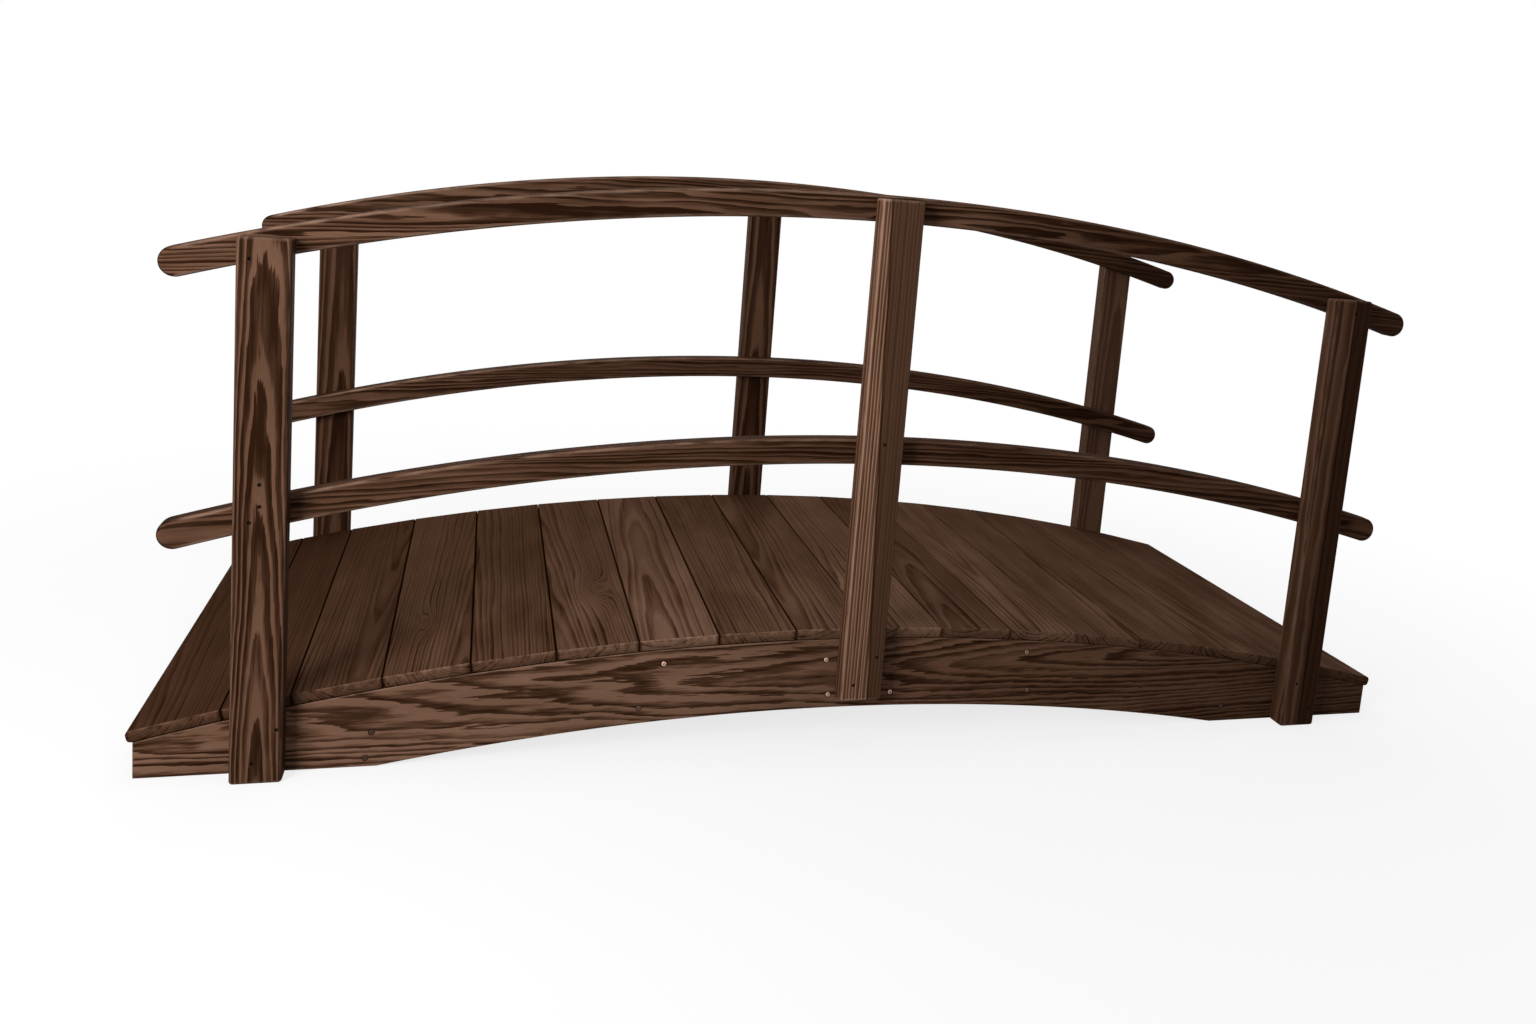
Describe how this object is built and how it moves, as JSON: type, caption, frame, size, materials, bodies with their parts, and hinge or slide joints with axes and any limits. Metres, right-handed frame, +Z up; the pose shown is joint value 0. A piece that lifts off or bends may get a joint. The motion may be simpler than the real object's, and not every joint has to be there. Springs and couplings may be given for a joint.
{
  "type": "arched wooden garden bridge",
  "caption": "Arched timber garden bridge with a curved plank deck on sawn stringers and bowed double handrails on posts, stained dark brown.",
  "frame": {"origin": "on the ground, under the middle of the bridge", "axes": "+X along the bridge towards its right end, +Y to the back side, +Z up"},
  "size_m": [2.4414, 0.99, 1.0508],
  "materials": {
    "stringer_pine": "dark brown stain, strong grain",
    "post_pine": "dark brown stain, strong grain",
    "rail_pine": "dark brown stain, long straight grain",
    "deck_pine": "dark brown stain, fine grain",
    "brace_pine": "dark brown stain, plain",
    "screw_metal": "dull coated screw heads"
  },
  "bodies": {
    "root": {"front_stringer": "stringer_pine", "back_stringer": "stringer_pine", "front_left_post": "post_pine", "front_middle_post": "post_pine", "front_right_post": "post_pine", "back_left_post": "post_pine", "back_middle_post": "post_pine", "back_right_post": "post_pine", "front_top_rail": "rail_pine", "front_lower_rail": "rail_pine", "back_top_rail": "rail_pine", "back_lower_rail": "rail_pine", "deck_board_01": "deck_pine", "deck_board_02": "deck_pine", "deck_board_03": "deck_pine", "deck_board_04": "deck_pine", "deck_board_05": "deck_pine", "deck_board_06": "deck_pine", "deck_board_07": "deck_pine", "deck_board_08": "deck_pine", "deck_board_09": "deck_pine", "deck_board_10": "deck_pine", "deck_board_11": "deck_pine", "deck_board_12": "deck_pine", "deck_board_13": "deck_pine", "deck_board_14": "deck_pine", "deck_board_15": "deck_pine", "deck_board_16": "deck_pine", "deck_board_17": "deck_pine", "left_foot_brace": "brace_pine", "left_quarter_brace": "brace_pine", "left_middle_brace": "brace_pine", "right_middle_brace": "brace_pine", "right_quarter_brace": "brace_pine", "right_foot_brace": "brace_pine"}
  },
  "joints": []
}
